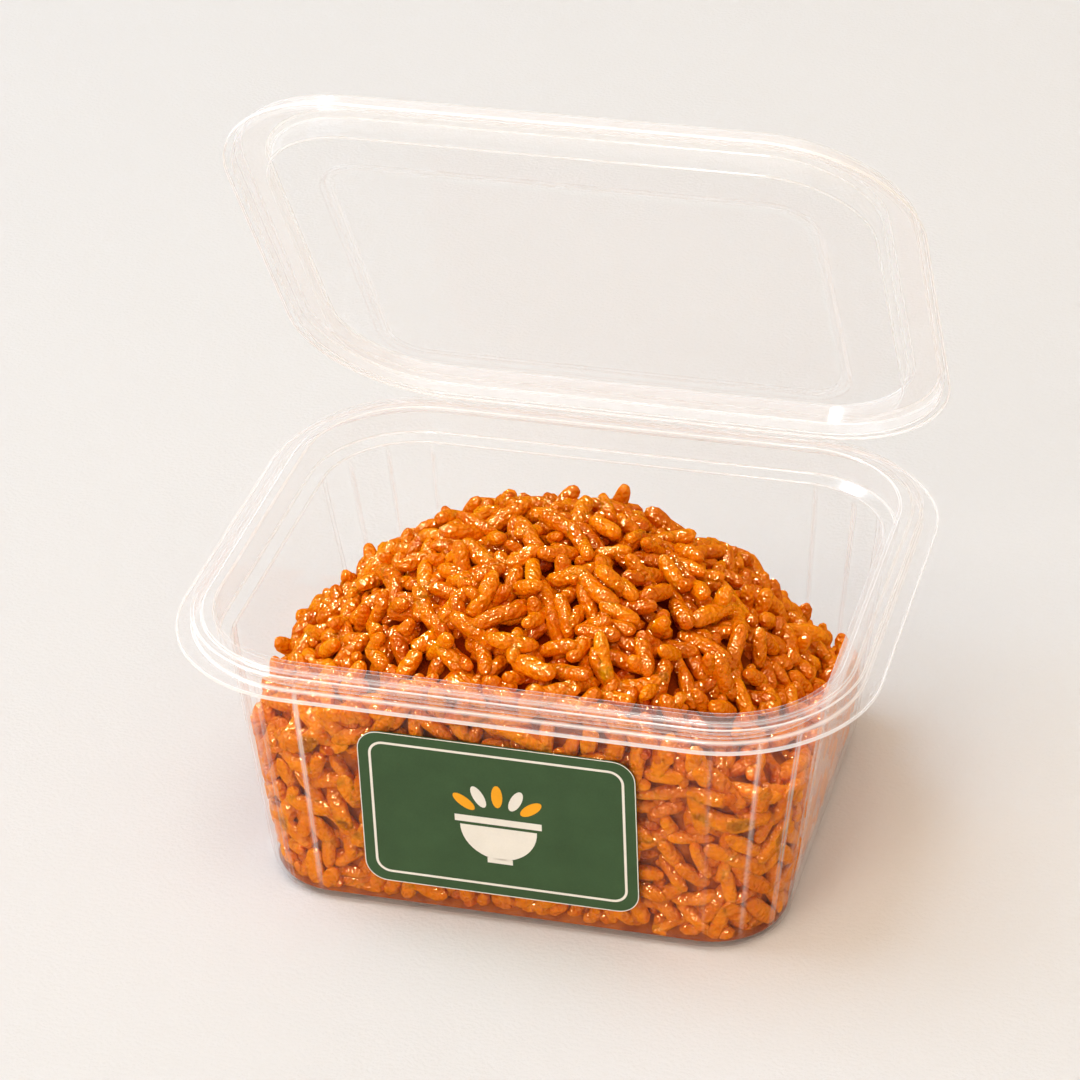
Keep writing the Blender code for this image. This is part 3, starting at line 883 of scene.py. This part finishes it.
petValues = {
    "drawScale": (1.0, 1.0, 0.06),     # stretches the draw lines up the tub's wall
    "lidDrawScale": (1.0, 0.3, 0.3),   # the lid is drawn far less deep
    "lineScale": 260.0,       # draw lines about 4 mm apart, and how deep they are
    "lineShare": 0.002,
    "lineDepth": 0.3 * mm,
    "waveScale": 45.0,        # slow waves about 22 mm long
    "waveShare": 0.012,
    "waveDepth": 0.8 * mm,
    "hazeFront": 0.01,        # whiteness face on, and edge on
    "hazeEdge": 0.5,
    "edgePower": 7.0,
    # whiteness over bends, ribs and rims: partly the sheet's whitening, partly painted highlight
    "bendWhiteningAndPaintedHighlight": 0.66,
    "through": 0.2,           # share of the milkiness that is lit from behind
    "mirrorFront": 0.006,
    "mirrorEdge": 0.6,
    "roughness": 0.09,
    "tint": "#FEFEFE",
    "milk": "#FFFFFF",
}


def makeClearPet(name, values):
    # thermoformed PET sheet: see-through, with a mirror-like skin, and whiter where it is seen edge-on
    # or where it bends, the whiteness there partly the sheet's own and partly painted highlight
    v = values
    material, tree = newMaterial(name)
    where = addNode(tree, "ShaderNodeTexCoord").outputs["Object"]
    stretched = addNode(tree, "ShaderNodeMapping", {"Scale": v["drawScale"]}, {"Vector": where})
    lines = addNode(
        tree, "ShaderNodeTexNoise", {"Scale": v["lineScale"], "Detail": 3.0}, {"Vector": stretched.outputs[0]},
    )
    waves = addNode(tree, "ShaderNodeTexNoise", {"Scale": v["waveScale"], "Detail": 1.0}, {"Vector": where})
    fine = addNode(
        tree, "ShaderNodeBump", {"Strength": v["lineShare"], "Distance": v["lineDepth"]},
        {"Height": lines.outputs[0]},
    )
    bump = addNode(
        tree, "ShaderNodeBump", {"Strength": v["waveShare"], "Distance": v["waveDepth"]},
        {"Height": waves.outputs[0], "Normal": fine.outputs[0]},
    ).outputs[0]
    edge = addNode(tree, "ShaderNodeLayerWeight", {"Blend": 0.5}).outputs["Facing"]
    steep = addNode(tree, "ShaderNodeMath", {"operation": "POWER", 1: v["edgePower"]}, {0: edge})
    haze = addNode(
        tree, "ShaderNodeMapRange", {"To Min": v["hazeFront"], "To Max": v["hazeEdge"]},
        {"Value": steep.outputs[0]},
    )
    bend = addNode(tree, "ShaderNodeAttribute", {"attribute_name": "bend"}).outputs["Fac"]
    whiteAndPaintedHighlight = addNode(
        tree, "ShaderNodeMath", {"operation": "MULTIPLY_ADD", 1: v["bendWhiteningAndPaintedHighlight"], "use_clamp": True},
        {0: bend, 2: haze.outputs[0]},
    )
    mirror = addNode(
        tree, "ShaderNodeMapRange", {"To Min": v["mirrorFront"], "To Max": v["mirrorEdge"]},
        {"Value": steep.outputs[0]},
    )
    clear = addNode(tree, "ShaderNodeBsdfTransparent", {"Color": hexColor(v["tint"])})
    lit = addNode(tree, "ShaderNodeBsdfDiffuse", {"Color": hexColor(v["milk"])})
    through = addNode(tree, "ShaderNodeBsdfTranslucent", {"Color": hexColor(v["milk"])})
    milky = addNode(tree, "ShaderNodeMixShader", {0: v["through"]}, {1: lit.outputs[0], 2: through.outputs[0]})
    body = addNode(
        tree, "ShaderNodeMixShader", {}, {0: whiteAndPaintedHighlight.outputs[0], 1: clear.outputs[0], 2: milky.outputs[0]},
    )
    shine = addNode(
        tree, "ShaderNodeBsdfGlossy", {"Color": hexColor("#FFFFFF"), "Roughness": v["roughness"]},
        {"Normal": bump},
    )
    film = addNode(
        tree, "ShaderNodeMixShader", {}, {0: mirror.outputs[0], 1: body.outputs[0], 2: shine.outputs[0]},
    )
    addNode(tree, "ShaderNodeOutputMaterial", {}, {"Surface": film.outputs[0]})
    return material


riceValues = {
    # the deep end colours darker grains and also the painted shade on the lowest layers
    "deep": "#B43E02",
    "middle": "#D06502",
    "bright": "#EE8804",
    "oil": "#FFC890",
    "oilShare": 0.055,        # how much the oily skin reflects
    "oilRoughness": 0.14,
    "patchScale": 380.0,      # paler and darker patches about 2.6 mm wide
    "beadScale": 1150.0,      # beads about 0.9 mm apart
    "beadHeight": 0.72 * mm,
}


def makeGrainMaterial():
    # parboiled rice cooked in tomato and oil: plump, translucent, its oily skin beaded with small lumps
    v = riceValues
    material, tree = newMaterial("oiledTomatoRice")
    where = addNode(tree, "ShaderNodeTexCoord").outputs["Object"]
    # each grain's random tone plus its layer's painted shade
    tone = addNode(tree, "ShaderNodeAttribute", {"attribute_name": "grainTone"}).outputs["Fac"]
    patches = addNode(
        tree, "ShaderNodeTexNoise", {"Scale": v["patchScale"], "Detail": 2.0}, {"Vector": where},
    ).outputs[0]
    blend = addNode(tree, "ShaderNodeMath", {"operation": "MULTIPLY_ADD", 1: 0.6}, {0: patches, 2: tone})
    ramp = addNode(tree, "ShaderNodeValToRGB", {}, {"Fac": blend.outputs[0]})
    stops = ramp.color_ramp.elements
    stops[0].position, stops[0].color = 0.3, hexColor(v["deep"])
    stops[1].position, stops[1].color = 1.0, hexColor(v["bright"])
    middle = stops.new(0.62)
    middle.color = hexColor(v["middle"])
    beads = addNode(tree, "ShaderNodeTexNoise", {"Scale": v["beadScale"], "Detail": 0.0}, {"Vector": where})
    bump = addNode(
        tree, "ShaderNodeBump", {"Strength": 1.0, "Distance": v["beadHeight"]}, {"Height": beads.outputs[0]},
    )
    flesh = addNode(
        tree, "ShaderNodeBsdfPrincipled",
        {
            "Roughness": 0.5, "Specular IOR Level": 0.0, "Subsurface Weight": 0.5,
            "Subsurface Scale": 0.0009, "Subsurface Radius": (1.0, 0.55, 0.15),
        },
        {"Base Color": ramp.outputs[0], "Normal": bump.outputs[0]},
    )
    oil = addNode(
        tree, "ShaderNodeBsdfGlossy", {"Color": hexColor(v["oil"]), "Roughness": v["oilRoughness"]},
        {"Normal": bump.outputs[0]},
    )
    skin = addNode(tree, "ShaderNodeMixShader", {0: v["oilShare"]}, {1: flesh.outputs[0], 2: oil.outputs[0]})
    addNode(tree, "ShaderNodeOutputMaterial", {}, {"Surface": skin.outputs[0]})
    return material


coreValues = {
    # the core's colours are dark because they carry painted shade for the gaps between the grains
    "deep": "#8A3A0C",
    "pale": "#B8601E",
    "paintedShade": "#6A1C02",
    "patchScale": 300.0,      # patches about 3.3 mm wide
    "paintedShadeFrom": 43.0 * mm,  # painted shade under the heap, darkest above these heights
    "paintedShadeTo": 53.0 * mm,
}


def makeCoreMaterial():
    # rice and oil between the grains, matt red brown; its dark colour is painted shade in the gaps, darkest under
    # the heap
    v = coreValues
    material, tree = newMaterial("coreOilAndPaintedShade")
    where = addNode(tree, "ShaderNodeTexCoord").outputs["Object"]
    patches = addNode(
        tree, "ShaderNodeTexNoise", {"Scale": v["patchScale"], "Detail": 3.0}, {"Vector": where},
    ).outputs[0]
    ramp = addNode(tree, "ShaderNodeValToRGB", {}, {"Fac": patches})
    stops = ramp.color_ramp.elements
    stops[0].position, stops[0].color = 0.35, hexColor(v["deep"])
    stops[1].position, stops[1].color = 0.7, hexColor(v["pale"])
    height = addNode(tree, "ShaderNodeSeparateXYZ", {}, {0: where}).outputs["Z"]
    paintedShade = addNode(
        tree, "ShaderNodeMapRange", {"From Min": v["paintedShadeFrom"], "From Max": v["paintedShadeTo"]}, {"Value": height},
    )
    colour = addNode(
        tree, "ShaderNodeMix", {"data_type": "RGBA", 7: hexColor(v["paintedShade"])},
        {0: paintedShade.outputs[0], 6: ramp.outputs[0]},
    )
    bump = addNode(tree, "ShaderNodeBump", {"Strength": 0.8, "Distance": 0.001}, {"Height": patches})
    skin = addNode(
        tree, "ShaderNodeBsdfPrincipled", {"Roughness": 1.0, "Specular IOR Level": 0.0},
        {"Base Color": colour.outputs[2], "Normal": bump.outputs[0]},
    )
    addNode(tree, "ShaderNodeOutputMaterial", {}, {"Surface": skin.outputs[0]})
    return material


inkValues = {
    "toothScale": 2600.0,     # the paper's tooth, about 0.4 mm
    "cloudScale": 160.0,      # uneven inking, about 6 mm
    "toothDepth": 0.1 * mm,
    "green": ("#3A5435", 0.55, 0.1),   # colour, roughness and unevenness of each ink
    "cream": ("#E9E6DD", 0.5, 0.04),
    "gold": ("#F0A620", 0.45, 0.05),
}


def makeInk(name, colour, roughness, mottle):
    # offset ink on uncoated paper: nearly matt, a little uneven, with the paper's tooth in it
    v = inkValues
    material, tree = newMaterial(name)
    where = addNode(tree, "ShaderNodeTexCoord").outputs["Object"]
    tooth = addNode(
        tree, "ShaderNodeTexNoise", {"Scale": v["toothScale"], "Detail": 3.0}, {"Vector": where},
    ).outputs[0]
    cloudy = addNode(
        tree, "ShaderNodeTexNoise", {"Scale": v["cloudScale"], "Detail": 2.0}, {"Vector": where},
    ).outputs[0]
    both = addNode(tree, "ShaderNodeMath", {"operation": "MULTIPLY_ADD", 1: 0.5}, {0: tooth, 2: cloudy})
    shade = addNode(
        tree, "ShaderNodeMapRange",
        {"From Min": 0.45, "From Max": 1.0, "To Min": 1.0 - mottle, "To Max": 1.0 + mottle},
        {"Value": both.outputs[0]},
    )
    tinted = addNode(
        tree, "ShaderNodeVectorMath", {"operation": "SCALE", 0: hexColor(colour)[:3]}, {"Scale": shade.outputs[0]},
    )
    bump = addNode(tree, "ShaderNodeBump", {"Strength": 0.12, "Distance": v["toothDepth"]}, {"Height": tooth})
    ink = addNode(
        tree, "ShaderNodeBsdfPrincipled", {"Roughness": roughness, "Specular IOR Level": 0.15},
        {"Base Color": tinted.outputs[0], "Normal": bump.outputs[0]},
    )
    addNode(tree, "ShaderNodeOutputMaterial", {}, {"Surface": ink.outputs[0]})
    return material


# floor, lights and camera

stageValues = {
    "floorSize": 6.0,
    "floorColor": "#D6D4D1",
    "speckleScale": 1100.0,   # grain about 0.9 mm
    "speckleDepth": 0.5 * mm,
    "worldColor": "#FFEDD8",
    "worldStrength": 0.62,
    "keyPower": 52.0,
    "keySize": 2.0,
    "keyFrom": (-1.75, 0.1, 2.1),
    "keyColor": "#C0E0FF",
    "glintPower": 170.0,
    "glintSize": 0.42,
    "glintFrom": (-1.0, 0.5, 1.8),
    "glintColor": "#FFFFFF",
    "sparklePower": 170.0,
    "sparkleSize": 0.36,
    "sparkleFrom": (-0.3, -1.7, 1.9),
    "sparkleColor": "#FFFAF2",
    "topPower": 23.0,
    "topSize": 2.0,
    "topFrom": (0.5, -0.3, 2.3),
    "topColor": "#FFF0E0",
    "fillPower": 26.0,
    "fillSize": 1.4,
    "fillFrom": (-0.9, -2.2, 1.1),
    "fillColor": "#FFF0E0",
}


def makeStage():
    # a pale stone floor in a soft room; two small lamps show only as glints, and the fill never does
    v = stageValues
    bpy.ops.mesh.primitive_plane_add(size=v["floorSize"], location=(0.0, 0.0, 0.0))
    floor = bpy.context.object
    floor.name = "floor"
    material, tree = newMaterial("paleStone")
    where = addNode(tree, "ShaderNodeTexCoord").outputs["Object"]
    speckle = addNode(
        tree, "ShaderNodeTexNoise", {"Scale": v["speckleScale"], "Detail": 3.0}, {"Vector": where},
    ).outputs[0]
    bump = addNode(tree, "ShaderNodeBump", {"Strength": 0.35, "Distance": v["speckleDepth"]}, {"Height": speckle})
    surface = addNode(
        tree, "ShaderNodeBsdfPrincipled",
        {"Base Color": hexColor(v["floorColor"]), "Roughness": 1.0, "Specular IOR Level": 0.0},
        {"Normal": bump.outputs[0]},
    )
    addNode(tree, "ShaderNodeOutputMaterial", {}, {"Surface": surface.outputs[0]})
    floor.data.materials.append(material)
    world = bpy.data.worlds.new("softRoom")
    world.use_nodes = True
    back = world.node_tree.nodes["Background"]
    back.inputs["Color"].default_value = hexColor(v["worldColor"])
    back.inputs["Strength"].default_value = v["worldStrength"]
    bpy.context.scene.world = world
    for name in ("key", "glint", "sparkle", "top", "fill"):
        lamp = bpy.data.lights.new(name, "AREA")
        lamp.shape, lamp.energy, lamp.size = "DISK", v[name + "Power"], v[name + "Size"]
        lamp.color = hexColor(v[name + "Color"])[:3]
        placed = linkObject(name, lamp)
        placed.location = v[name + "From"]
        placed.rotation_euler = Vector(v[name + "From"]).to_track_quat("Z", "Y").to_euler()
        placed.visible_glossy = name != "fill"
        placed.visible_diffuse = name not in ("glint", "sparkle")


cameraValues = {
    "lensMm": 138.4,
    "sensorMm": 36.0,
    "azimuthDeg": 16.19,
    "elevationDeg": 31.51,
    "rollDeg": -2.06,
    "distance": 0.81517,      # metres, as is the point looked at
    "target": (-0.00545, 0.00341, 0.05757),
}


def makeCamera():
    v = cameraValues
    azimuth, elevation, roll = (math.radians(v[k]) for k in ("azimuthDeg", "elevationDeg", "rollDeg"))
    level = math.cos(elevation)
    back = Vector((math.sin(azimuth) * level, -math.cos(azimuth) * level, math.sin(elevation)))
    right = (-back).cross(Vector((0, 0, 1))).normalized()
    up = right.cross(-back)
    cosine, sine = math.cos(roll), math.sin(roll)
    right, up = right * cosine + up * sine, up * cosine - right * sine
    camera = linkObject("camera", bpy.data.cameras.new("camera"))
    camera.data.lens = v["lensMm"]
    camera.data.sensor_width = v["sensorMm"]
    camera.data.clip_end = 20.0
    turn = Matrix((right, up, back)).transposed().to_4x4()
    camera.matrix_world = Matrix.Translation(Vector(v["target"]) + back * v["distance"]) @ turn
    bpy.context.scene.camera = camera


# putting it together

makeStage()
makeCamera()
print("stage set")

bpy.context.scene.view_settings.view_transform = "Standard"
bpy.context.scene.cycles.transparent_max_bounces = 32   # film lies behind film many times over
tubPet = makeClearPet("thermoformedPetTub", petValues)
lidPet = makeClearPet("thermoformedPetLid", {**petValues, "drawScale": petValues["lidDrawScale"]})
grainMaterial = makeGrainMaterial()
coreMaterial = makeCoreMaterial()

tubFilm = makeTub()
tubFilm.data.materials.append(tubPet)
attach(tubFilm, "tub")
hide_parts("tub")
hingeBead = makeHinge()
hingeBead.data.materials.append(tubPet)
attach(hingeBead, "tub")
print("tub film formed")

lidFilm = makeLid()
lidFilm.data.materials.append(lidPet)
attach(lidFilm, "lid")
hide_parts("lid")
print("lid formed")

core, grains = makeRice(grainMaterial, coreMaterial)
for piece in [core] + grains:
    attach(piece, "tub")
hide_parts("rice")
print("rice heaped")

paper = makeInk("greenPrintedPaper", *inkValues["green"])
frame["nodes"]["label"].data.materials.clear()
frame["nodes"]["label"].data.materials.append(paper)
labelPrint = makeLabelPrint()
labelPrint.data.materials.append(makeInk("creamInk", *inkValues["cream"]))
labelPrint.data.materials.append(makeInk("goldInk", *inkValues["gold"]))
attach(labelPrint, "tub")
print("label printed")
